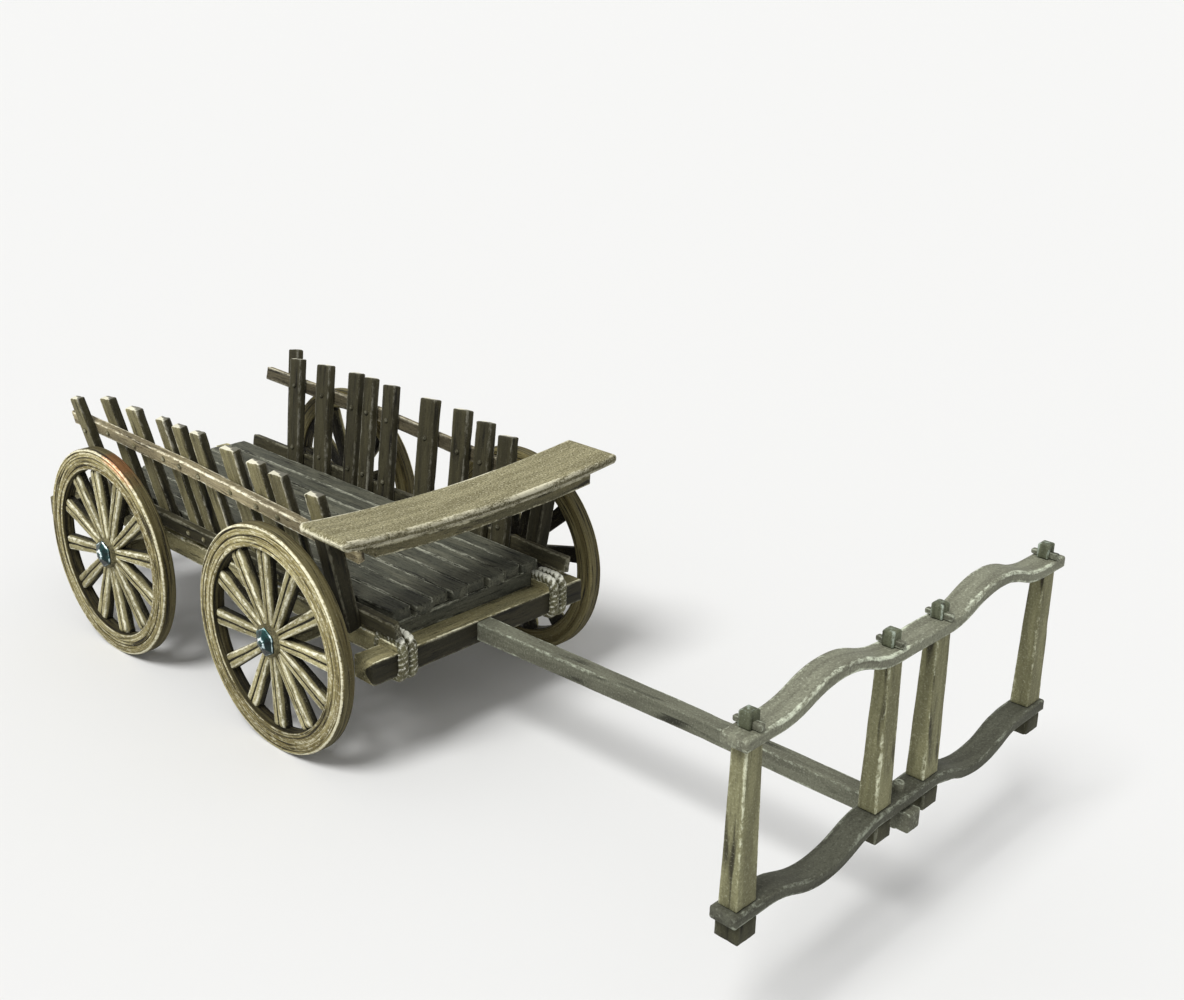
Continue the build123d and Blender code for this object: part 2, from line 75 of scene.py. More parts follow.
# Surface of the timbers
EDGE_RADIUS = 0.15
EDGE_BAND = 0.3
END_ROUND = 0.13
END_PROFILE = (
    # scale, share_of_rounding_taken_off, share_of_setback
    (0.35, 1.0, 0.0),
    (0.7, 1.0, 0.0),
    (1.0, 1.0, 0.0),
    (1.0, 0.3, 0.35),
    (1.0, 0.0, 1.0),
)
RING_SPACING = 0.2
STEP = 0.45
CORNER_LIMIT = 0.7
WEAR_FALLOFF = 1.5
GRAIN_DEPTH = 0.05
GRAIN_ALONG = 0.16
GRAIN_ACROSS = 1.5
FINE_GRAIN_ALONG = 0.37
FINE_GRAIN_ACROSS = 3.6
GRAIN_LEVEL = 0.58
BROAD_SHARE = 0.6
FINE_SHARE = 0.4

# Wheel
SPOKE_TURNS = {"front_right": 4.0, "front_left": 12.0, "rear_right": 9.5, "rear_left": 21.0}
FELLOE_SEGMENTS = 240
FELLOE_SOFT = 0.12
CARVED_FROM_FACE = 0.3
CARVED_FROM_INNER = 0.08
RIPPLE = 0.03
CARVED_LINES = (
    # distance_from_tread, width, depth, wander
    (0.34, 0.07, 0.14, 0.04),
    (0.66, 0.05, 0.08, 0.12),
    (0.98, 0.08, 0.15, 0.14),
    (1.36, 0.05, 0.09, 0.16),
    (1.74, 0.07, 0.12, 0.1),
)
WHEEL_SHADE = 0.3
STAINS = {
    # wheel: middle and half width of a stain on the tread, in degrees, and its tint
    "rear_right": (70, 17, (1.75, 1.0, 0.88)),
}
SPOKE_COUNT = 12
SPOKE_BACK = 0.15
SPOKE_HEIGHT = 1.05
SPOKE_SHOULDER = 0.52
SPOKE_VALLEY = 0.2
SPOKE_SIDE = (
    # share_of_half_width, share_of_climb_from_the_shoulder
    (1.0, 0.0),
    (0.97, 0.45),
    (0.9, 0.78),
    (0.78, 0.95),
    (0.6, 1.0),
    (0.4, 1.0),
    (0.24, 0.97),
)
SPOKE_ROOT_HALF = 0.5
SPOKE_TIP_HALF = 0.8
SPOKE_END_ROUND = 0.4
SPOKE_END_DROP = 0.35
SPOKE_STEPS = 30
SPOKE_ROUGH = 0.03
SPOKE_WANDER = 0.16
# Painted shade: each spoke darkens from its crest down its sides to its back.
SPOKE_FOOT_SHADE = 0.35
NAVE_R = 1.6
NAVE_BACK = 0.75
NAVE_FRONT = 0.15
# Painted shade: the nave is darkened like the shadow round the hub cap.
NAVE_SHADE = 0.5
NAVE_SEGMENTS = 48
BORE_R = 0.65
PIN_R = 0.6
PIN_SEGMENTS = 24
PIN_INSIDE = 0.3
AXIS_R = 0.02
CAP_SIDES = 6
CAP_R = 1.45
CAP_POINTS_PER_SIDE = 8
CAP_DENT = 0.05
CAP_LEVELS = (
    # radius_share, height_share, worn, tone: worn is rubbed paint and painted highlight, tone is
    # painted light and shade
    (0.97, 0.0, 0.0, 0.5),
    (1.0, 0.06, 0.1, 0.7),
    (1.0, 0.2, 0.75, 1.0),
    (0.94, 0.29, 0.9, 1.0),
    (0.86, 0.36, 0.1, 0.7),
    (0.7, 0.53, 0.0, 0.35),
    (0.5, 0.74, 0.0, 0.5),
    (0.4, 0.84, 0.9, 1.0),
    (0.3, 0.94, 1.6, 1.3),
    (0.2, 1.0, 0.5, 0.9),
)

# Axles and yoke
SHOULDER_LEVEL = 0.8
POST_GAP = 0.02
ROD_SEGMENTS = 32
FOOT_CHAMFER = 0.36

# Rope and nails
ROPE_R = 0.5
ROPE_STAND_OFF = 0.25
ROPE_CORNER = 0.9
ROPE_SEGMENTS = 24
ROPE_RUN_STEPS = 16
ROPE_BEND_STEPS = 8
ROPE_WANDER = 0.05
STRANDS = 3
STRAND_PITCH = 0.5
NAIL_R = 0.3
NAIL_SEGMENTS = 12
NAIL_BASE = -0.45
NAIL_TOP = 0.55
NAIL_PROFILE = (
    # radius_share, height_share, worn
    (1.0, NAIL_BASE, 0.0),
    (1.0, 0.12, 0.0),
    (0.82, 0.36, 0.6),
    (0.45, 0.5, 0.6),
)
# Painted shade on the nail heads on the inner faces of the stakes.
INNER_NAIL_SHADE = 0.25
CROSSING_STEPS = 80
FOOT_NAIL_HEIGHT = 1.2
NAIL_BEHIND_BEAM = 0.8

# Paint: its shine, and its patterns in waves per millimetre along and across the grain
SHEEN = 0.2
FLAT_STREAKS = (0.4, 4.5)
ROUND_STREAKS = (0.14, 0.14)
UPRIGHT_STREAKS = 4.5
SPECK_WAVES = (6, 6, 6)
RUB_WAVES = (1.6, 3.2, 3.2)
BLOTCH_WAVES = (1.6, 1.6, 1.6)

# Camera, from the photograph
CAMERA_PLACE = (97.12, -84.11, 70.77)
CAMERA_AZIMUTH = 42.87
CAMERA_ELEVATION = 20.78
CAMERA_ROLL = 1.28
FOCAL_PIXELS = 1465.77
IMAGE_WIDTH = 1184
SENSOR_WIDTH = 36
CLIP_START = 5

# Floor and light
FLOOR_HALF = 4000
FLOOR_COLOUR = (0.8, 0.8, 0.79, 1)
FLOOR_ROUGHNESS = 0.9
AMBIENT = 0.45
BACKDROP = 0.9
LAMPS = (
    # name, strength, softness, azimuth, elevation
    ("key", 2.5, 24, 8, 58),
    ("fill", 0.15, 40, 50, 30),
)


# Reading the frame


def box(node):
    low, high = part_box(node)
    return low / MM, high / MM


def tree(node):
    mesh = frame["nodes"][node].data
    points = [vertex.co / MM for vertex in mesh.vertices]
    return BVHTree.FromPolygons(points, [tuple(face.vertices) for face in mesh.polygons])


def solids(node):
    """Each separate solid of a node, as its points and its faces' (normal, area)."""
    mesh = frame["nodes"][node].data
    places = {}
    corner = []
    for vertex in mesh.vertices:
        key = tuple(round(value / MM, PLACE_DIGITS) for value in vertex.co)
        corner.append(places.setdefault(key, len(places)))
    leader = list(range(len(places)))

    def root(index):
        while leader[index] != index:
            index = leader[index]
        return index

    for face in mesh.polygons:
        first = root(corner[face.vertices[0]])
        for index in face.vertices:
            leader[root(corner[index])] = first
    groups = {}
    for face in mesh.polygons:
        points, faces = groups.setdefault(root(corner[face.vertices[0]]), (set(), []))
        points.update(tuple(mesh.vertices[index].co / MM) for index in face.vertices)
        faces.append((face.normal.copy(), face.area / MM**2))
    found = []
    for points, faces in groups.values():
        found.append(([Vector(point) for point in sorted(points)], faces))
    return sorted(found, key=lambda solid: min((point.x, point.y) for point in solid[0]))


def main_axes(faces):
    """Unit vectors along a timber's length, across its narrow side and across its wide side."""
    totals = []
    for normal, area in faces:
        for row in totals:
            if abs(row[0].dot(normal)) > SAME_WAY:
                row[1] += area
                break
        else:
            totals.append([normal, area])
    totals.sort(key=lambda row: -row[1])
    wide = totals[0][0]
    narrow = next(normal for normal, _ in totals if abs(normal.dot(wide)) < SQUARE_TO)
    along = wide.cross(narrow).normalized()
    if max(along, key=abs) < 0:
        along = -along
    return along, along.cross(wide).normalized(), wide


def box_rows(points, axes):
    """Two stations, at the ends of the points' box along the first axis."""
    middle = Vector()
    halves = []
    for axis in axes:
        reach = [point.dot(axis) for point in points]
        middle += axis * (max(reach) + min(reach)) / 2
        halves.append((max(reach) - min(reach)) / 2)
    along, side, up = axes
    ends = (middle - along * halves[0], middle + along * halves[0])
    return [(end, side * halves[1], up * halves[2]) for end in ends]


def node_rows(node):
    points, faces = solids(node)[0]
    return box_rows(points, main_axes(faces))


def span(surface, place, direction):
    """The solid's reach along direction, measured from place, as (low, high)."""
    down = surface.ray_cast(place + direction * CAST_REACH, -direction)[0]
    rise = surface.ray_cast(place - direction * CAST_REACH, direction)[0]
    if down is None or rise is None:
        return None
    return (rise - place).dot(direction), (down - place).dot(direction)


def sliced_rows(node, rows, count, aside=0.0):
    """Stations cut from the solid between two ends, for a bent, bowed or tapered timber."""
    surface = tree(node)
    (start, side, up), (end, _, _) = rows
    side_way, up_way = side.normalized(), up.normalized()
    inset = SLICE_INSET / (end - start).length
    offset, halves = Vector(), (side, up)
    cut = []
    for index in range(count + 1):
        share = index / count
        probe = start.lerp(end, min(max(share, inset), 1 - inset))
        level = span(surface, probe + side * aside, up_way)
        if level:
            middle = probe + up_way * (level[0] + level[1]) / 2
            width = span(surface, middle, side_way) or (-side.length, side.length)
            middle += side_way * (width[0] + width[1]) / 2
            halves = (side_way * (width[1] - width[0]) / 2, up_way * (level[1] - level[0]) / 2)
            offset = middle - probe
        cut.append((start.lerp(end, share) + offset, *halves))
    return cut


def level_rows(node, along):
    """Stations at the two ends of a node's box along the world's X, Y or Z (0, 1 or 2)."""
    low, high = box(node)
    middle, half = (low + high) / 2, (high - low) / 2
    halves = [way * half.dot(way) for way in (FORWARD, LEFT, UP) if not way[along]]
    rows = []
    for end in (low, high):
        place = middle.copy()
        place[along] = end[along]
        rows.append((place, *halves))
    return rows


# Pieces


class Shape:
    """Points and faces of one piece, with the marks that its paint follows."""

    def __init__(self):
        self.points = []
        self.faces = []
        self.wear_and_highlight = []
        self.relief = []
        self.tone = []
        self.grain = []

    def add(self, place, wear_and_highlight, relief, tone, grain):
        self.points.append(place * MM)
        self.wear_and_highlight.append(wear_and_highlight)
        self.relief.append(relief)
        self.tone.append(tone if isinstance(tone, Vector) else Vector((tone, tone, tone)))
        self.grain.append(grain)
        return len(self.points) - 1

    def join(self, rings, closed=False):
        """Faces from each ring to the next one, and from the last to the first when closed."""
        following = rings[1:] + (rings[:1] if closed else [])
        for first, second in zip(rings, following):
            self.faces += zip(first, first[1:] + first[:1], second[1:] + second[:1], second)

    def close(self, ring, middle):
        self.faces += zip(ring, ring[1:] + ring[:1], [middle] * len(ring))


def linked(name, data):
    """A new object in the scene."""
    obj = bpy.data.objects.new(name, data)
    bpy.context.scene.collection.objects.link(obj)
    return obj


def piece(shape, name, body, finish, *replaced):
    """Makes the mesh. finish is (material slot, paint), and its slot is not used; replaced names
    the CAD node.
    """
    slot, material = finish
    mesh = bpy.data.meshes.new(name)
    mesh.from_pydata(shape.points, [], shape.faces)
    for mark in ("wear_and_highlight", "relief"):
        mesh.attributes.new(mark, "FLOAT", "POINT").data.foreach_set("value", getattr(shape, mark))
    for mark in ("tone", "grain"):
        values = [value for vector in getattr(shape, mark) for value in vector]
        mesh.attributes.new(mark, "FLOAT_VECTOR", "POINT").data.foreach_set("vector", values)
    work = bmesh.new()
    work.from_mesh(mesh)
    bmesh.ops.recalc_face_normals(work, faces=work.faces)
    work.to_mesh(mesh)
    work.free()
    mesh.shade_smooth()
    mesh.materials.append(material)
    obj = linked(name, mesh)
    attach(obj, body)
    if replaced:
        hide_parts(*replaced)


def wave(x, y, z, seed):
    """Smooth noise from -1 to 1."""
    return noise.noise(Vector((x, y + 17.3 * seed, z - 9.1 * seed)))


# Timbers


def resampled(rows, step):
    fine = []
    for first, second in zip(rows, rows[1:]):
        count = max(1, round((second[0] - first[0]).length / step))
        for index in range(count):
            fine.append(tuple(a.lerp(b, index / count) for a, b in zip(first, second)))
    fine.append(rows[-1])
    return fine


def ring_marks(half_side, half_up, spacing):
    """Points round a rounded rectangle, as (side, up, side part of the way out, up part)."""
    across = max(2, round(2 * half_side / spacing))
    upward = max(2, round(2 * half_up / spacing))
    marks = []
    for turn, count in enumerate((upward, across, upward, across)):
        quarter = math.radians(90 * turn)
        out = Vector((math.cos(quarter), math.sin(quarter)))
        way = Vector((-out.y, out.x))
        for index in range(count + 1):
            place = out + way * (2 * index / count - 1)
            marks.append((place.x, place.y, out.x, out.y))
        for share in (1 / 3, 2 / 3):
            angle = quarter + math.radians(90 * share)
            place = out + way
            marks.append((place.x, place.y, math.cos(angle), math.sin(angle)))
    return marks


def relief_at(distance, y, z, seed):
    """Height of the carved grain, from 0 in a groove to 1 on a ridge."""
    broad = wave(distance * GRAIN_ALONG, y * GRAIN_ACROSS, z * GRAIN_ACROSS, seed)
    along, across = FINE_GRAIN_ALONG, FINE_GRAIN_ACROSS
    fine = wave(distance * along, y * across, z * across, seed + 3)
    return min(1.0, max(0.0, GRAIN_LEVEL + BROAD_SHARE * broad + FINE_SHARE * fine))


def stations(rows, step):
    """Rings along a timber, as (row, distance, end, scale, rounding, setback).

    end is 0 or 1 at the timber's two ends, and None between them.
    """
    rows = resampled(rows, step)
    distance = 0
    found = [(rows[0], 0, 0, *profile) for profile in END_PROFILE]
    for index in range(1, len(rows)):
        distance += (rows[index][0] - rows[index - 1][0]).length
        if index < len(rows) - 1:
            found.append((rows[index], distance, None, 1.0, 0.0, 0.0))
    found += [(rows[-1], distance, 1, *profile) for profile in reversed(END_PROFILE)]
    ways = ((rows[0][0] - rows[1][0]).normalized(), (rows[-1][0] - rows[-2][0]).normalized())
    return found, ways


def timber(
    shape, rows, seed, tone=1.0, radius=EDGE_RADIUS, depth=GRAIN_DEPTH, ragged=(0, 0),
    end_wear=(0.3, 0.3), end_round=END_ROUND, step=STEP, edge_wear=1.0, chipped=1.6, shade_and_dark_paint=(),
):
    """A worn board or beam with carved grain, through stations of (middle, half side, half up).

    The last parameter gives (direction, share) for each side of the timber that is painted darker:
    painted shade on sides turned forward or into the wagon, and darker paint of its own on the
    upper rails' tops.
    """
    marks = ring_marks(rows[0][1].length, rows[0][2].length, RING_SPACING)
    shift = Vector((31.7 * seed, 11.9 * seed, -23.3 * seed))
    rings, ways = stations(rows, step)

    def ring(row, distance, end, scale, rounding, setback):
        middle, side, up = row
        half_side, half_up = side.length, up.length
        side_way, up_way = side / half_side, up / half_up
        shrink = rounding * end_round
        indices = []
        for p, q, out_side, out_up in marks:
            chip = max(0.0, wave(distance * 0.5, p * 1.3, q * 1.3, seed + 7) - 0.25)
            corner = radius * (0.85 + 0.4 * wave(distance * 0.3, p, q, seed + 5) + chipped * chip)
            corner = min(corner, CORNER_LIMIT * half_side, CORNER_LIMIT * half_up)
            y = (p * (half_side - corner) + corner * out_side) * (1 - shrink / half_side) * scale
            z = (q * (half_up - corner) + corner * out_up) * (1 - shrink / half_up) * scale
            relief = 1 - (1 - relief_at(distance, y, z, seed)) * min(1.0, depth / GRAIN_DEPTH)
            sunk = depth * (1 - relief) if scale == 1 else 0
            edge = max((1 - abs(p)) * half_side, (1 - abs(q)) * half_up)
            if scale < 1:
                edge = min(half_side - abs(y), half_up - abs(z))
            patch = 0.8 + 0.7 * wave(distance * 0.22, p * 1.4, q * 1.4, seed + 9)
            near_edge = max(0.0, 1 - max(edge, 0.0) / EDGE_BAND)
            wear_and_highlight = min(1.0, edge_wear * patch * near_edge**WEAR_FALLOFF)
            place = middle + side_way * (y - out_side * sunk) + up_way * (z - out_up * sunk)
            if end is not None:
                rag = ragged[end] * (0.5 + 0.5 * wave(y * 1.7, z * 1.1, 4 + 5 * end, seed))
                place -= ways[end] * (setback * end_round + rag)
                if rounding == 1:
                    wear_and_highlight = max(wear_and_highlight, end_wear[end])
            out = side_way * out_side + up_way * out_up
            # Painted light: faces turned up are made paler and faces turned down darker.
            light = tone * (0.9 + 0.12 * out.z)
            # Painted shade, or darker paint of the timber's own, on each listed side
            for direction, share in shade_and_dark_paint:
                light *= 1 - share * max(0.0, out.dot(direction))
            grain = Vector((distance, y, z)) + shift
            indices.append(shape.add(place, wear_and_highlight, relief, light, grain))
        return indices

    drawn = [ring(*row) for row in rings]
    shape.join(drawn)
    for end, edge in ((0, drawn[0]), (1, drawn[-1])):
        row, distance = (rings[0] if end == 0 else rings[-1])[:2]
        place = row[0] - ways[end] * ragged[end] / 2
        middle = shape.add(place, end_wear[end], 0.6, tone, FORWARD * distance + shift)
        shape.close(edge, middle)


# Round work


def lathe(shape, place, profile, segments, seed, bump=None, stain_and_shade=None):
    """Turns a closed profile of (radius, height, worn, relief, tone) points.

    place(angle, radius, height) gives a point. bump(angle, radius, height) gives how far it sinks
    and how much dark wash it holds. The last function, given (angle, radius), gives the colour that
    it is tinted with; for the wheels that is a tinted patch and painted shade towards the bottom.
    """
    shift = Vector((41.3, 7.7, 3.1)) * seed
    rings = []
    length = 0
    for index, (radius, height, wear_and_highlight, relief, tone) in enumerate(profile):
        before = profile[index - 1] if index else profile[0]
        length += math.hypot(radius - before[0], height - before[1])
        ring = []
        for step in range(segments):
            angle = math.tau * step / segments
            sunk, wash = bump(angle, radius, height) if bump else (0, 0)
            grain = Vector((math.cos(angle) * radius, math.sin(angle) * radius, length)) + shift
            point = place(angle, radius, height - sunk)
            tint = stain_and_shade(angle, radius) * tone if stain_and_shade else tone
            ring.append(shape.add(point, wear_and_highlight, max(0.0, relief - wash), tint, grain))
        rings.append(ring)
    shape.join(rings, closed=True)


def around(centre, outward):
    """Places points round an axis. The angle runs from +X towards +Z, or towards +Y round Z."""
    second = LEFT if abs(outward.z) > 0.5 else UP

    def place(angle, radius, height):
        turn = Vector((math.cos(angle), 0, 0)) + second * math.sin(angle)
        return centre + turn * radius + outward * height

    return place


def outward_from(corner):
    return Vector((0, 1 if "left" in corner else -1, 0))


def wheel_centre(corner):
    joint = next(j for j in frame["joints"] if j["child"] == f"{corner}_wheel")
    return Vector(joint["pos_m"]) / MM


def wheel_back(corner):
    """Middle of the felloe's inner face, which the wheel's heights are measured from."""
    low, high = box(f"{corner}_felloe")
    centre = wheel_centre(corner)
    return Vector((centre.x, low.y if outward_from(corner).y > 0 else high.y, centre.z))


def felloe_sizes(corner):
    """Inner radius, tread radius and width."""
    low, high = box(f"{corner}_felloe")
    width = high.y - low.y
    back = wheel_back(corner)
    start = back + outward_from(corner) * width / 2
    hit = tree(f"{corner}_felloe").ray_cast(start, FORWARD)[0]
    return (hit - back).x, (high.z - low.z) / 2, width


def wheel_piece(shape, corner, name, finish, replaced):
    piece(shape, f"{corner}_{name}", f"{corner}_wheel", finish, f"{corner}_{replaced}")


def felloe(corner, seed):
    inner, tread, width = felloe_sizes(corner)

    def carve(angle, radius, height):
        if height < width - CARVED_FROM_FACE or radius < inner + CARVED_FROM_INNER:
            return 0, 0
        x, z = math.cos(angle) * 3, math.sin(angle) * 3
        depth = 0
        for number, (from_tread, line_width, line_depth, wander) in enumerate(CARVED_LINES):
            middle = tread - from_tread + wander * wave(x * 0.8, z * 0.8, number * 5, seed)
            strength = min(1.0, 0.75 + 1.0 * wave(x * 0.7, z * 0.7, number * 3, seed + 2))
            bell = math.exp(-(((radius - middle) / line_width) ** 2))
            depth += line_depth * max(0.0, strength) * bell
        ripple = RIPPLE * (0.5 + 0.5 * wave(x * 2.2, z * 2.2, radius * 2.6, seed + 4))
        return depth + ripple, min(1.0, depth * 9)

    def stain_and_shade(angle, radius):
        # Painted shade: each wheel is darker towards the bottom. The listed wheels also get a
        # tinted patch on the tread.
        light = 1 - WHEEL_SHADE * (0.5 - 0.5 * math.sin(angle))
        if corner not in STAINS:
            return light
        middle, half, tint = STAINS[corner]
        from_middle = abs(math.degrees(angle) - middle) + 9 * wave(angle * 9, radius * 2, 0, seed)
        strength = min(1.0, max(0.0, 1.6 * (1 - from_middle / half)))
        strength *= min(1.0, max(0.0, (radius - tread + 0.75) / 0.5))
        return Vector((1, 1, 1)).lerp(Vector(tint), strength) * light

    soft = FELLOE_SOFT
    corners = (
        # radius, height, worn, relief, tone, steps to the next corner
        (inner + soft, 0.0, 0.1, 0.6, 0.6, 6),
        (tread - soft, 0.0, 0.2, 0.6, 0.6, 1),
        (tread, soft, 0.0, 0.5, 0.36, 6),
        (tread, width - 0.24, 0.0, 0.5, 0.36, 1),
        (tread - 0.02, width - 0.16, 0.6, 0.8, 1.0, 1),
        (tread - 0.08, width - 0.07, 1.0, 1.0, 1.0, 1),
        (tread - 0.18, width - 0.01, 1.0, 1.0, 1.0, 1),
        (tread - 0.24, width, 0.45, 0.85, 1.0, 34),
        (inner + soft, width, 0.7, 0.9, 1.0, 1),
        (inner + 0.04, width - 0.04, 0.6, 0.9, 1.0, 1),
        # The inner face, turned to the hub, is darkened as painted shade.
        (inner, width - soft, 0.1, 0.2, 0.3, 5),
        (inner, soft, 0.0, 0.1, 0.25, 1),
    )
    profile = []
    for first, second in zip(corners, corners[1:] + corners[:1]):
        steps = first[5]
        for index in range(steps):
            t = index / steps
            radius, height = (first[k] + (second[k] - first[k]) * t for k in (0, 1))
            profile.append((radius, height, *first[2:5]))
    shape = Shape()
    place = around(wheel_back(corner), outward_from(corner))
    lathe(shape, place, profile, FELLOE_SEGMENTS, seed, carve, stain_and_shade)
    wheel_piece(shape, corner, "wheel_rim", WHEEL, "felloe")


def spoke_outline():
    """Points round a spoke's section: (share of half width, height, worn, relief)."""
    rise = SPOKE_HEIGHT - SPOKE_SHOULDER
    near = []
    for share, climb in SPOKE_SIDE:
        wear_and_highlight = 0.75 if 0.7 < share < 0.95 else 0.3 * climb
        near.append((share, SPOKE_SHOULDER + rise * climb, wear_and_highlight, 0.1 + 0.85 * climb))
    groove = [
        (0.14, SPOKE_HEIGHT - 0.45 * SPOKE_VALLEY, 0.0, 0.12),
        (0.0, SPOKE_HEIGHT - SPOKE_VALLEY, 0.0, -0.3),
        (-0.14, SPOKE_HEIGHT - 0.45 * SPOKE_VALLEY, 0.0, 0.12),
    ]
    far = [(-share, height, wear_and_highlight, relief) for share, height, wear_and_highlight, relief in reversed(near)]
    back = [(share, 0.0, 0.0, 0.05) for share in (-1.0, -0.5, 0.0, 0.5, 1.0)]
    return near + groove + far + back


def spoke(shape, place, angle, inner_radius, seed):
    outline = spoke_outline()
    start, end = NAVE_R - 0.3, inner_radius + 0.05
    shift = Vector((3.7, 19.1, 5.3)) * seed
    tone = 1 + 0.3 * wave(seed * 1.3, 0, 0, 1)
    rings = []
    for index in range(SPOKE_STEPS + 1):
        t = index / SPOKE_STEPS
        radius = start + (end - start) * t
        half = SPOKE_ROOT_HALF + (SPOKE_TIP_HALF - SPOKE_ROOT_HALF) * t
        near_rim = max(0.0, 1 - (inner_radius - radius) / SPOKE_END_ROUND)
        drop = SPOKE_END_DROP * min(1.0, near_rim) ** 2
        wander = SPOKE_WANDER * wave(radius * 0.25, 3, 1, seed)
        ring = []
        for share, height, wear_and_highlight, relief in outline:
            rough = wave(radius * 0.5, share * half * 2.6, height * 2.6, seed)
            if height > SPOKE_SHOULDER:
                share += wander * (1 - abs(share))
                height -= SPOKE_ROUGH * (0.5 + 0.5 * rough) + drop
            across = share * half
            turn = angle + math.atan2(across, radius)
            reach = min(math.hypot(across, radius), inner_radius + 0.03)
            relief_mark = min(1.0, relief + 0.2 * rough - 0.8 * near_rim)
            grain = Vector((radius, across, height)) + shift
            point = place(turn, reach, SPOKE_BACK + height)
            # Painted shade, darker towards the spoke's back
            light = tone * (SPOKE_FOOT_SHADE + (1 - SPOKE_FOOT_SHADE) * height / SPOKE_HEIGHT)
            ring.append(shape.add(point, wear_and_highlight, relief_mark, light, grain))
        rings.append(ring)
    shape.join(rings)
    for ring, radius in ((rings[0], start), (rings[-1], inner_radius)):
        middle = place(angle, radius, SPOKE_BACK + SPOKE_HEIGHT / 2)
        shape.close(ring, shape.add(middle, 0, 0.3, 1.0, FORWARD * radius + shift))


def spider(corner, seed):
    inner, _, width = felloe_sizes(corner)
    place = around(wheel_back(corner), outward_from(corner))
    shape = Shape()
    for index in range(SPOKE_COUNT):
        angle = math.radians(SPOKE_TURNS[corner] + 360 * index / SPOKE_COUNT)
        spoke(shape, place, angle, inner, seed + index)
    top = width + NAVE_FRONT
    outline = (
        (BORE_R, -NAVE_BACK),
        (NAVE_R - 0.15, -NAVE_BACK),
        (NAVE_R, -NAVE_BACK + 0.15),
        (NAVE_R, 0.0),
        (NAVE_R, top - 0.12),
        (NAVE_R - 0.12, top),
        (BORE_R, top),
    )
    # Painted shade on the nave
    profile = [(radius, height, 0.2, 0.3, NAVE_SHADE) for radius, height in outline]
    lathe(shape, place, profile, NAVE_SEGMENTS, seed)
    wheel_piece(shape, corner, "wheel_spokes", SPOKE, "spokes")


def hub_cap(corner, seed):
    """A six-sided peak with rubbed ridges and painted highlights, paler on top as painted light.
    One ridge points straight up.
    """
    low, high = box(f"{corner}_hub_cap")
    outward = outward_from(corner)
    base = wheel_back(corner)
    base.y = low.y if outward.y > 0 else high.y
    rise = high.y - low.y
    place = around(base, outward)
    half_side = math.pi / CAP_SIDES
    count = CAP_SIDES * CAP_POINTS_PER_SIDE
    shape = Shape()
    rings = []
    for radius_share, height_share, wear_and_highlight, tone in CAP_LEVELS:
        ring = []
        for step in range(count):
            angle = math.pi / 2 + math.tau * step / count
            x, z = math.cos(angle), math.sin(angle)
            along_side = step % CAP_POINTS_PER_SIDE / CAP_POINTS_PER_SIDE
            from_middle = along_side * 2 * half_side - half_side
            flat = math.cos(half_side) / math.cos(from_middle)
            ridge = max(0.0, 1 - 5 * (1 - flat) / (1 - math.cos(half_side)))
            dent = max(0.0, CAP_DENT * wave(x * 2, z * 2, height_share * 2, seed))
            point = place(angle, CAP_R * radius_share * flat, rise * height_share - dent)
            grain = Vector((x, z, height_share)) * CAP_R * radius_share
            chip = 0.5 + 0.5 * wave(x * 3, z * 3, height_share * 3, seed + 5)
            # Painted highlight on the ridges and bright rings, over rubbed paint; painted light
            # makes the upper facets paler and the lower ones darker.
            rub_and_glint = max(wear_and_highlight * 1.5 * chip, 0.5 * ridge * chip)
            light = tone * (1.1 + 0.75 * z)
            ring.append(shape.add(point, rub_and_glint, 0.5, light, grain + FORWARD * seed))
        rings.append(ring)
    shape.join(rings)
    shape.close(rings[0], shape.add(place(0, 0, 0), 0, 0.5, 1.0, FORWARD * seed))
    shape.close(rings[-1], shape.add(place(0, 0, rise), 0.1, 0.9, 0.6, Vector((seed, 0, 1))))
    wheel_piece(shape, corner, "hub_iron", HUB, "hub_cap")


# Rope


def rope_route(y, low, high):
    """Points of one closed turn between two box corners, each with its way out of the turn."""
    half_x, half_z = (high.x - low.x) / 2, (high.z - low.z) / 2
    middle = Vector(((low.x + high.x) / 2, y, (low.z + high.z) / 2))
    route = []
    for turn in range(4):
        quarter = math.radians(90 * turn)
        out = Vector((math.cos(quarter), 0, math.sin(quarter)))
        way = Vector((-out.z, 0, out.x))
        run = (half_z if turn % 2 == 0 else half_x) - ROPE_CORNER
        depth = half_x if turn % 2 == 0 else half_z
        for index in range(ROPE_RUN_STEPS):
            along = way * run * (2 * index / ROPE_RUN_STEPS - 1)
            route.append((middle + out * depth + along, out))
        for index in range(ROPE_BEND_STEPS):
            angle = quarter + math.radians(90 * index / ROPE_BEND_STEPS)
            bend = Vector((math.cos(angle), 0, math.sin(angle)))
            place = middle + out * (depth - ROPE_CORNER) + way * run + bend * ROPE_CORNER
            route.append((place, bend))
    return route


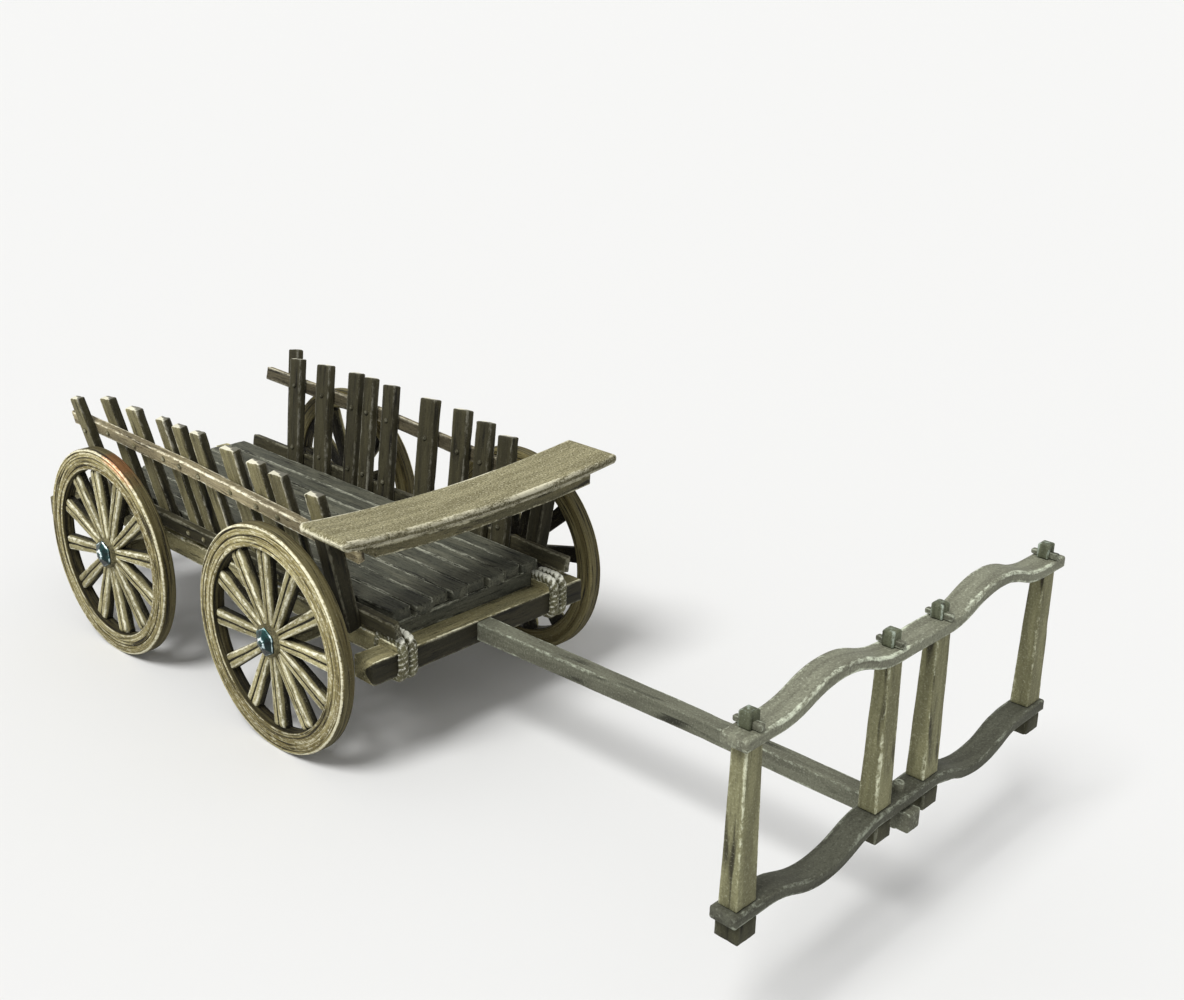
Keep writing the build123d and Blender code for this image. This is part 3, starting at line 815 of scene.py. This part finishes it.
def rope_turn(shape, y, low, high, seed):
    route = rope_route(y, low, high)
    length = sum((b[0] - a[0]).length for a, b in zip(route, route[1:] + route[:1]))
    twists = round(length / STRAND_PITCH) / STRANDS
    travelled = 0
    rings = []
    for index, (place, out) in enumerate(route):
        ring = []
        wander = ROPE_WANDER * wave(travelled * 0.4, y, 0, seed)
        for step in range(ROPE_SEGMENTS):
            angle = math.tau * step / ROPE_SEGMENTS
            lobe = abs(math.cos(STRANDS / 2 * (angle - math.tau * twists * travelled / length)))
            radius = ROPE_R * (0.86 + 0.13 * lobe)
            way = out * math.cos(angle) + LEFT * math.sin(angle)
            point = place + way * radius + LEFT * wander
            # Painted highlight: the tops of the turns are made pale, over the rubbed crests of the
            # strands.
            wear_and_highlight = 0.35 * lobe**2 + 0.65 * max(0.0, way.z) ** 2
            grain = point + FORWARD * seed
            ring.append(shape.add(point, wear_and_highlight, 0.15 + 0.7 * lobe, 1.0, grain))
        rings.append(ring)
        travelled += (route[(index + 1) % len(route)][0] - place).length
    shape.join(rings, closed=True)


def rope_lashing(side, seed):
    beam_low, beam_high = box("front_cross_beam")
    rail_high = box(f"{side}_chassis_rail")[1]
    margin = Vector((ROPE_STAND_OFF, 0, ROPE_STAND_OFF))
    low = Vector((beam_low.x, 0, beam_low.z)) - margin
    high = Vector((beam_high.x, 0, rail_high.z)) + margin
    shape = Shape()
    for number, (points, _) in enumerate(solids(f"{side}_rope_lashing")):
        reach = [point.y for point in points]
        rope_turn(shape, (max(reach) + min(reach)) / 2, low, high, seed + number)
    piece(shape, f"{side}_rope_turns", "wagon", ROPE, f"{side}_rope_lashing")


# Nails


def nail(shape, place, normal, seed, tone=1.0):
    side = normal.orthogonal().normalized()
    up = normal.cross(side)
    rings = []
    for share, height, wear_and_highlight in NAIL_PROFILE:
        ring = []
        for step in range(NAIL_SEGMENTS):
            angle = math.tau * step / NAIL_SEGMENTS
            way = side * math.cos(angle) + up * math.sin(angle)
            size = NAIL_R * share * (1 + 0.12 * wave(math.cos(angle), math.sin(angle), 0, seed))
            point = place + way * size + normal * NAIL_R * height
            ring.append(shape.add(point, wear_and_highlight, 0.2 + height, tone, point))
        rings.append(ring)
    shape.join(rings)
    base, top = (place + normal * NAIL_R * height for height in (NAIL_BASE, NAIL_TOP))
    shape.close(rings[0], shape.add(base, 0.0, 0.2, tone, place))
    shape.close(rings[-1], shape.add(top, 0.9, 0.9, tone, place))


def crossing(start, end, out, surface):
    """Middle of the part of a stake's axis that lies behind a rail."""
    hidden = []
    for step in range(CROSSING_STEPS + 1):
        place = start.lerp(end, step / CROSSING_STEPS)
        if surface.ray_cast(place + out * NEAR_REACH, -out)[0] is not None:
            hidden.append(place)
    return sum(hidden, Vector()) / len(hidden) if hidden else None


def first_hit(place, way, surfaces):
    """First point met on any surface, coming towards place against way, and that surface."""
    hits = [surface.ray_cast(place + way * NEAR_REACH, -way) for surface in surfaces]
    near = [(hit[3], index) for index, hit in enumerate(hits) if hit[0] is not None]
    if not near:
        return None, None
    index = min(near)[1]
    return hits[index][0], surfaces[index]


def side_nails(side, seed):
    """Nail heads on both faces of the stakes where rails cross them, and at the stakes' feet."""
    stakes = tree(f"{side}_stakes")
    rails = [tree(f"{side}_{name}_side_rail") for name in ("upper", "lower")]
    deck_top = box("deck_planks")[1].z
    shape = Shape()
    for index, (points, faces) in enumerate(solids(f"{side}_stakes")):
        axes = main_axes(faces)
        out = axes[2] if axes[2].dot(outward_from(side)) > 0 else -axes[2]
        start, end = (row[0] for row in box_rows(points, axes))
        for rail in rails:
            place = crossing(start, end, out, rail)
            if place is None:
                continue
            outer = first_hit(place, out, [stakes, rail])[0]
            nail(shape, outer, out, seed + index)
            inner, met = first_hit(place, -out, [stakes, rail])
            if rail is rails[0] and met is stakes:
                nail(shape, inner, -out, seed + index + 40, INNER_NAIL_SHADE)
        height = (deck_top + FOOT_NAIL_HEIGHT - start.z) / (end.z - start.z)
        inner, met = first_hit(start.lerp(end, height), -out, [stakes, *rails])
        if met is stakes:
            nail(shape, inner, -out, seed + index + 80, INNER_NAIL_SHADE)
    rail_low, rail_high = box(f"{side}_chassis_rail")
    beam_low = box("front_cross_beam")[0]
    place = Vector((beam_low.x - NAIL_BEHIND_BEAM, (rail_low.y + rail_high.y) / 2, rail_high.z))
    nail(shape, place, UP, seed)
    piece(shape, f"{side}_side_nails", "wagon", CART)


# Paints


def srgb(red, green, blue):
    def linear(value):
        value /= 255
        return value / 12.92 if value <= 0.04045 else ((value + 0.055) / 1.055) ** 2.4

    return linear(red), linear(green), linear(blue), 1.0


class Paint:
    """A node material, with short calls for the few kinds of node that the paints use."""

    def __init__(self, name):
        self.material = bpy.data.materials.new(name)
        self.material.use_nodes = True
        self.tree = self.material.node_tree
        self.shader = self.tree.nodes["Principled BSDF"]

    def feed(self, node, feeds):
        """Sets each input to its number or colour, or links it to another node's output."""
        for key, value in feeds.items():
            if isinstance(value, (int, float, tuple)):
                node.inputs[key].default_value = value
            else:
                self.tree.links.new(value, node.inputs[key])

    def node(self, kind, feeds, **settings):
        node = self.tree.nodes.new("ShaderNode" + kind)
        for name, value in settings.items():
            setattr(node, name, value)
        self.feed(node, feeds)
        return node

    def mark(self, name, output="Fac"):
        return self.node("Attribute", {}, attribute_name=name).outputs[output]

    def math(self, kind, first, second):
        return self.node("Math", {0: first, 1: second}, operation=kind).outputs[0]

    def noise(self, vector, waves, detail=4.0, roughness=0.6):
        scaled = self.node("VectorMath", {0: vector, 1: waves}, operation="MULTIPLY")
        feeds = {"Scale": 1.0, "Detail": detail, "Roughness": roughness}
        return self.node("TexNoise", {"Vector": scaled.outputs[0], **feeds}).outputs["Fac"]

    def ramp(self, value, low, high):
        feeds = {"Value": value, "From Min": low, "From Max": high}
        node = self.node("MapRange", feeds, interpolation_type="SMOOTHSTEP")
        return node.outputs["Result"]

    def mix(self, factor, first, second, blend="MIX", share=1.0):
        if share != 1.0:
            factor = self.math("MULTIPLY", factor, share)
        settings = {"data_type": "RGBA", "blend_type": blend, "clamp_result": True}
        node = self.node("Mix", {}, **settings)
        keys = {socket.name: key for key, socket in enumerate(node.inputs) if socket.enabled}
        self.feed(node, {keys["Factor"]: factor, keys["A"]: first, keys["B"]: second})
        return next(socket for socket in node.outputs if socket.enabled)

    def sum(self, *terms, shift=0.0):
        """Adds value * factor for each (value, factor), and a constant."""
        total = shift
        for value, factor in terms:
            total = self.math("ADD", self.math("MULTIPLY", value, factor), total)
        return total

    def bump(self, height, strength, distance):
        feeds = {"Height": height, "Strength": strength, "Distance": distance * MM}
        node = self.node("Bump", feeds)
        self.feed(self.shader, {"Normal": node.outputs["Normal"]})

    def coat(self, colour, feeds):
        """Gives the shader the colour, multiplied by the tone mark, and other inputs. The tone mark
        holds each piece's own tone and its painted light and shade.
        """
        toned = self.mix(1.0, colour, self.mark("tone", "Vector"), "MULTIPLY")
        self.feed(self.shader, {"Base Color": toned, **feeds})


def painted_wood(name, colours, wear=1.0, streaks=1.0, speckle=0.3, round_work=False):
    """Matt paint with changes along the grain, dark wash in grooves and pale dry-brushed edges.

    colours are the base, the colour that it changes to, the wash and the pale edges.
    """
    base, second, wash, pale = (srgb(*colour) for colour in colours)
    paint = Paint(name)
    grain = paint.mark("grain", "Vector")
    along, side = ROUND_STREAKS if round_work else FLAT_STREAKS
    streak = paint.noise(grain, (along, side, UPRIGHT_STREAKS))
    fine = paint.noise(grain, (2.5 * along, 2.5 * side, 13.0), 3.0)
    broad = paint.noise(grain, (0.3 * along, 0.25 * side, 1.4 if round_work else 0.9), 2.0)
    speck = paint.noise(grain, SPECK_WAVES, 3.0, 0.7)
    rub = paint.noise(grain, RUB_WAVES, 3.0)
    relief, wear_and_highlight = paint.mark("relief"), paint.mark("wear_and_highlight")
    lines = paint.sum((streak, streaks), (fine, 0.7 * streaks), shift=-0.85 * streaks)
    specks = paint.sum((speck, 3.0), shift=-1.5)
    hollow = paint.sum((relief, 1.0), (lines, 0.5))
    # Pale dry-brushing; through the mark for rubbed edges and highlights it also paints the
    # highlights on the rope's tops.
    terms = (wear_and_highlight, wear), (lines, 1.0), (specks, 0.2 + 0.2 * speckle), (relief, 0.3), (rub, 2.0)
    drybrush_and_highlight = paint.sum(*terms)
    colour = paint.mix(paint.ramp(broad, 0.38, 0.62), base, second)
    colour = paint.mix(paint.ramp(lines, 0.0, -0.32), colour, wash)
    colour = paint.mix(paint.ramp(hollow, 0.42, 0.02), colour, wash)
    colour = paint.mix(paint.ramp(specks, 0.0, -0.6), colour, wash, share=speckle)
    colour = paint.mix(paint.ramp(drybrush_and_highlight, 1.6, 2.5), colour, pale)
    colour = paint.mix(paint.ramp(specks, 0.1, 0.7), colour, pale, share=0.7 * speckle)
    roughness = paint.sum((speck, 0.25), shift=0.6)
    paint.coat(colour, {"Roughness": roughness, "Specular IOR Level": SHEEN})
    paint.bump(paint.sum((lines, 1.0), (speck, 0.6 * speckle + 0.2)), 0.6, 0.05)
    return paint.material


def hub_paint():
    """Dark metallic paint, rubbed bright on the edges; the bright colour also paints highlights."""
    paint = Paint("dark_blue_green_metallic")
    blotch = paint.noise(paint.mark("grain", "Vector"), BLOTCH_WAVES)
    rub = paint.sum((paint.mark("wear_and_highlight"), 1.0), (blotch, 0.9))
    colour = paint.mix(paint.ramp(blotch, 0.35, 0.65), srgb(10, 34, 32), srgb(30, 71, 68))
    # Painted highlight: the pale rubbed colour also stands in for glints.
    colour = paint.mix(paint.ramp(rub, 0.85, 1.5), colour, srgb(206, 226, 228))
    paint.coat(colour, {"Metallic": 0.6, "Roughness": paint.sum((blotch, 0.2), shift=0.16)})
    paint.bump(blotch, 0.4, 0.08)
    return paint.material


# Finishes: material slot and paint
CART = "cart_wood", painted_wood(
    "cart_olive_brown", ((117, 111, 81), (96, 92, 67), (42, 39, 27), (214, 210, 180))
)
STAKE = "cart_wood", painted_wood(
    "stake_brown", ((145, 138, 100), (119, 113, 82), (50, 45, 30), (242, 238, 214)),
    wear=1.1, streaks=0.9,
)
RAIL = "cart_wood", painted_wood(
    "rail_pinkish_brown", ((146, 136, 106), (121, 112, 88), (52, 46, 34), (230, 223, 196)),
    streaks=1.2,
)
DECK = "deck_wood", painted_wood(
    "deck_grey_green", ((95, 95, 81), (76, 77, 66), (31, 31, 25), (166, 167, 150)),
    streaks=1.2,
)
SEAT = "seat_wood", painted_wood(
    "seat_grey_tan", ((152, 146, 112), (130, 124, 92), (72, 66, 44), (232, 227, 198)),
    wear=1.3, streaks=0.2, speckle=1.2,
)
YOKE = "yoke_wood", painted_wood(
    "yoke_grey_brown", ((112, 113, 97), (96, 96, 82), (46, 46, 37), (184, 190, 170)),
    streaks=0.4, speckle=0.45,
)
POST = "yoke_wood", painted_wood(
    "yoke_post_olive", ((130, 128, 96), (110, 108, 80), (50, 47, 34), (212, 214, 186)),
    streaks=0.5, speckle=0.35,
)
WHEEL = "wheel_wood", painted_wood(
    "wheel_olive_tan", ((174, 163, 114), (130, 118, 72), (46, 40, 24), (244, 239, 208)),
    streaks=1.9, speckle=0.25, round_work=True,
)
SPOKE = "wheel_wood", painted_wood(
    "spoke_grey_tan", ((172, 164, 122), (138, 130, 92), (38, 34, 21), (246, 243, 218)),
    wear=1.1,
)
# The pale colour also paints highlights on the tops of the rope's turns.
ROPE = "rope", painted_wood(
    "rope_pale", ((102, 100, 74), (82, 79, 58), (28, 27, 18), (246, 246, 230)),
    wear=1.9, streaks=0.4, speckle=0.4,
)
HUB = "hub_metal", hub_paint()

# Looks of single timbers, as timber() takes them
CHASSIS_LOOK = {"tone": 2.2}
LOWER_RAIL_LOOK = {"tone": 0.32, "ragged": (0.1, 0.3), "end_wear": (0.3, 0.8)}
STRUT_LOOK = {"tone": 0.2}
# Painted light: the front beam is made paler, as if lit, and the rear beam darker, as if in shade.
BEAM_PAINTED_LIGHT = {"front": 1.8, "rear": 0.8}
# Painted shade on each beam's front face.
BEAM_LOOK = {
    "end_wear": (0.2, 0.2), "radius": 0.16, "end_round": 0.18, "chipped": 0.3,
    "shade_and_dark_paint": ((FORWARD, 0.9),),
}
PLANK_LOOK = {"ragged": (0.2, 0.25), "end_wear": (0.2, 0.1), "radius": 0.11}
# Painted shade on the seat's front face.
SEAT_LOOK = {
    "tone": 0.95, "radius": 0.42, "end_round": 0.4, "end_wear": (0.9, 0.9), "depth": 0.03,
    "chipped": 0.8, "edge_wear": 0.85, "shade_and_dark_paint": ((FORWARD, 0.45),),
}
SEAT_BEARER_LOOK = {"tone": 0.8}
# Painted highlight: the upper yoke beam's tone is raised to the brightness of a sheen on its top.
UPPER_BEAM_LOOK = {"tone": 1.45, "radius": 0.2, "depth": 0.03, "edge_wear": 0.75}
LOWER_BEAM_LOOK = {"tone": 0.6, "radius": 0.2, "depth": 0.04, "edge_wear": 0.8}
FOOT_LOOK = {"tone": 0.28, "end_wear": (0.2, 0.2)}
POST_LOOK = {"tone": 1.15, "end_wear": (0.0, 0.0), "edge_wear": 0.75}
TENON_LOOK = {"tone": Vector((0.62, 0.7, 0.8)), "end_wear": (0.0, 0.6), "radius": 0.12}
KEY_LOOK = {"end_wear": (0.7, 0.7), "radius": 0.1, "step": 0.2}
POLE_LOOK = {"edge_wear": 0.75}


def upper_rail_look(inward):
    # Darker paint of its own on the rail's top, and painted shade on its side turned into the
    # wagon.
    return {"tone": 1.9, "depth": 0.07, "shade_and_dark_paint": ((UP, 0.5), (inward, 0.78))}


def stake_look(inward):
    # Painted shade on the sides of the stakes that are turned into the wagon and turned forward.
    return {
        "ragged": (0, 0.12), "end_wear": (0.1, 1.5), "radius": 0.2, "edge_wear": 0.8,
        "shade_and_dark_paint": ((inward, 0.8), (FORWARD, 0.8)),
    }


# Building the wagon. Each piece has its own seeds for noise.


def single(node, name, finish, seed, rows=None, **look):
    shape = Shape()
    timber(shape, rows or node_rows(node), seed, **look)
    piece(shape, name, "wagon", finish, node)


def each_solid(node, name, finish, seed, tone_change, **look):
    """One timber for each solid of a node, each with its own tone."""
    shape = Shape()
    for index, (points, faces) in enumerate(solids(node)):
        tone = 1 + tone_change * wave(index * 2.3, seed, 5, 3)
        timber(shape, box_rows(points, main_axes(faces)), seed + index, tone, **look)
    piece(shape, name, "wagon", finish, node)


def axle(end_name, seed):
    """The beam between the wheels, and the pin at each end of it."""
    node = f"{end_name}_axle"
    low, high = box(node)
    middle = (low + high) / 2
    half = (high.z - low.z) / 2
    shoulder = span(tree(node), middle + UP * (SHOULDER_LEVEL * half), LEFT)[1]
    ends = (middle - LEFT * shoulder, middle + LEFT * shoulder)
    shape = Shape()
    timber(shape, [(end, FORWARD * half, UP * half) for end in ends], seed)
    inside = shoulder - PIN_INSIDE
    outline = ((AXIS_R, inside), (PIN_R, inside), (PIN_R, high.y), (AXIS_R, high.y))
    profile = [(radius, height, 0.1, 0.5, 0.9) for radius, height in outline]
    for way in (-LEFT, LEFT):
        lathe(shape, around(middle, way), profile, PIN_SEGMENTS, seed)
    piece(shape, f"{end_name}_axle_timber", "wagon", CART, node)


def cart_side(number, side):
    inward = -outward_from(side)
    rail, lower = f"{side}_chassis_rail", f"{side}_lower_side_rail"
    single(rail, f"{side}_rail_timber", CART, 1 + number, **CHASSIS_LOOK)
    single(lower, f"{side}_lower_rail_board", CART, 3 + number, **LOWER_RAIL_LOOK)
    for part, name, slices, finish, look in (
        ("upper_side_rail", "upper_rail_board", RAIL_SLICES, RAIL, upper_rail_look(inward)),
        ("seat_strut", "strut_post", STRUT_SLICES, CART, STRUT_LOOK),
    ):
        node = f"{side}_{part}"
        rows = sliced_rows(node, node_rows(node), slices)
        single(node, f"{side}_{name}", finish, 5 + number, rows, **look)
    rope_lashing(side, 7 + number)
    stakes, look = f"{side}_stakes", stake_look(inward)
    seed = 100 + 12 * number
    each_solid(stakes, f"{side}_stake_timbers", STAKE, seed, tone_change=0.3, **look)
    side_nails(side, 60 + number)


def yoke_post(number, name):
    """Foot block, tapered post and tenon, each from one face of a beam to the next, and the key."""
    node = f"{name}_yoke_post"
    low, high = box(node)
    middle = (low + high) / 2
    surface = tree(node)
    beside = middle + FORWARD * BESIDE_TENON
    beam_low, beam_high = (
        [value + middle.z for value in span(tree(f"yoke_{level}_beam"), beside, UP)]
        for level in ("lower", "upper")
    )
    shape = Shape()
    for levels, look in (
        ((low.z, low.z + FOOT_CHAMFER, beam_low[0]), FOOT_LOOK),
        ((beam_low[1], beam_high[0]), POST_LOOK),
        ((beam_high[1], high.z), TENON_LOOK),
    ):
        rows = []
        for z in (levels[0] + POST_GAP, *levels[1:-1], levels[-1] - POST_GAP):
            place = Vector((middle.x, middle.y, z))
            halves = []
            for way in (FORWARD, LEFT):
                reach = span(surface, place, way)
                halves.append(way * (reach[1] - reach[0]) / 2)
            rows.append((place, *halves))
        timber(shape, rows, 170 + number, **look)
    piece(shape, f"{name}_yoke_upright", "wagon", POST, node)
    key = f"{name}_yoke_key"
    rows = sliced_rows(key, level_rows(key, 0), KEY_SLICES)
    single(key, f"{name}_yoke_wedge", YOKE, 180 + number, rows, **KEY_LOOK)


def yoke_pin():
    low, high = box("yoke_pin")
    radius = (high.x - low.x) / 2
    length = high.z - low.z
    base = (low + high) / 2
    base.z = low.z
    outline = (
        # radius, height, worn
        (AXIS_R, 0.0, 0.2),
        (radius - 0.1, 0.0, 0.4),
        (radius, 0.1, 0.4),
        (radius, length - 0.15, 0.2),
        (radius - 0.05, length - 0.05, 0.8),
        (radius - 0.2, length, 0.9),
        (AXIS_R, length, 0.7),
    )
    shape = Shape()
    profile = [(r, height, wear_and_highlight, 0.5, 0.95) for r, height, wear_and_highlight in outline]
    lathe(shape, around(base, UP), profile, ROD_SEGMENTS, 190)
    piece(shape, "yoke_pin_rod", "wagon", YOKE, "yoke_pin")


for number, corner in enumerate(CORNERS):
    felloe(corner, 20 + number)
    spider(corner, 40 + 15 * number)
    hub_cap(corner, 90 + number)
for number, (end_name, tone) in enumerate(BEAM_PAINTED_LIGHT.items()):
    axle(end_name, 14 + number)
    beam = f"{end_name}_cross_beam"
    single(beam, f"{end_name}_beam_timber", CART, 9 + number, tone=tone, **BEAM_LOOK)
for number, side in enumerate(SIDES):
    cart_side(number, side)
each_solid("deck_bearers", "deck_bearer_timbers", DECK, 130, tone_change=0.1)
single("header_board", "header_timber", DECK, 12)
each_solid("deck_planks", "deck_timbers", DECK, 140, tone_change=0.3, **PLANK_LOOK)
for number, (node, finish, look) in enumerate((
    ("seat_board", SEAT, SEAT_LOOK),
    ("seat_bearer", CART, SEAT_BEARER_LOOK),
    ("yoke_upper_beam", YOKE, UPPER_BEAM_LOOK),
    ("yoke_lower_beam", YOKE, LOWER_BEAM_LOOK),
)):
    rows = sliced_rows(node, level_rows(node, 1), BOWED_SLICES, BESIDE_MIDDLE)
    single(node, f"{node}_timber", finish, 150 + number, rows, **look)
for number, name in enumerate(POSTS):
    yoke_post(number, name)
yoke_pin()
pole = "draught_pole"
rows = sliced_rows(pole, level_rows(pole, 0), POLE_SLICES, BESIDE_MIDDLE)
single(pole, f"{pole}_timber", YOKE, 160, rows, **POLE_LOOK)


# Floor, light and camera


def bearing(azimuth, elevation):
    """Unit vector towards a lamp or camera. Azimuth 0 lies on the -Y side and 90 on the +X side."""
    level = math.cos(elevation)
    return Vector((math.sin(azimuth) * level, -math.cos(azimuth) * level, math.sin(elevation)))


def floor():
    half = FLOOR_HALF * MM
    mesh = bpy.data.meshes.new("floor")
    corners = [(-half, -half, 0), (half, -half, 0), (half, half, 0), (-half, half, 0)]
    mesh.from_pydata(corners, [], [(0, 1, 2, 3)])
    paint = Paint("pale_floor")
    paint.feed(paint.shader, {"Base Color": FLOOR_COLOUR, "Roughness": FLOOR_ROUGHNESS})
    mesh.materials.append(paint.material)
    obj = linked("floor", mesh)


def studio_world():
    """A white world that lights at AMBIENT and is seen at BACKDROP."""
    world = bpy.data.worlds.new("studio")
    bpy.context.scene.world = world
    world.use_nodes = True
    nodes, links = world.node_tree.nodes, world.node_tree.links
    background = nodes["Background"]
    background.inputs["Color"].default_value = (1, 1, 1, 1)
    rays = nodes.new("ShaderNodeLightPath")
    seen = rays.outputs["Is Camera Ray"]
    for name in ("Is Glossy Ray", "Is Transmission Ray"):
        either = nodes.new("ShaderNodeMath")
        either.operation = "MAXIMUM"
        links.new(seen, either.inputs[0])
        links.new(rays.outputs[name], either.inputs[1])
        seen = either.outputs[0]
    level = nodes.new("ShaderNodeMapRange")
    level.inputs["To Min"].default_value = AMBIENT
    level.inputs["To Max"].default_value = BACKDROP
    links.new(seen, level.inputs["Value"])
    links.new(level.outputs["Result"], background.inputs["Strength"])


def lamps():
    for name, strength, soft, azimuth, elevation in LAMPS:
        lamp = bpy.data.lights.new(name, "SUN")
        lamp.energy = strength
        lamp.angle = math.radians(soft)
        towards = bearing(math.radians(azimuth), math.radians(elevation))
        linked(name, lamp).rotation_euler = towards.to_track_quat("Z", "Y").to_euler()


def camera():
    azimuth, elevation, roll = map(math.radians, (CAMERA_AZIMUTH, CAMERA_ELEVATION, CAMERA_ROLL))
    back = bearing(azimuth, elevation)
    right = Vector((math.cos(azimuth), math.sin(azimuth), 0))
    up = back.cross(right)
    turned_right = right * math.cos(roll) + up * math.sin(roll)
    turned_up = up * math.cos(roll) - right * math.sin(roll)
    data = bpy.data.cameras.new("camera")
    data.sensor_fit = "HORIZONTAL"
    data.sensor_width = SENSOR_WIDTH
    data.lens = SENSOR_WIDTH * FOCAL_PIXELS / IMAGE_WIDTH
    data.clip_start = CLIP_START * MM
    obj = linked("camera", data)
    rotation = Matrix((turned_right, turned_up, back)).transposed().to_4x4()
    obj.matrix_world = Matrix.Translation(Vector(CAMERA_PLACE) * MM) @ rotation
    bpy.context.scene.camera = obj


floor()
studio_world()
lamps()
camera()
bpy.context.scene.view_settings.view_transform = "Standard"
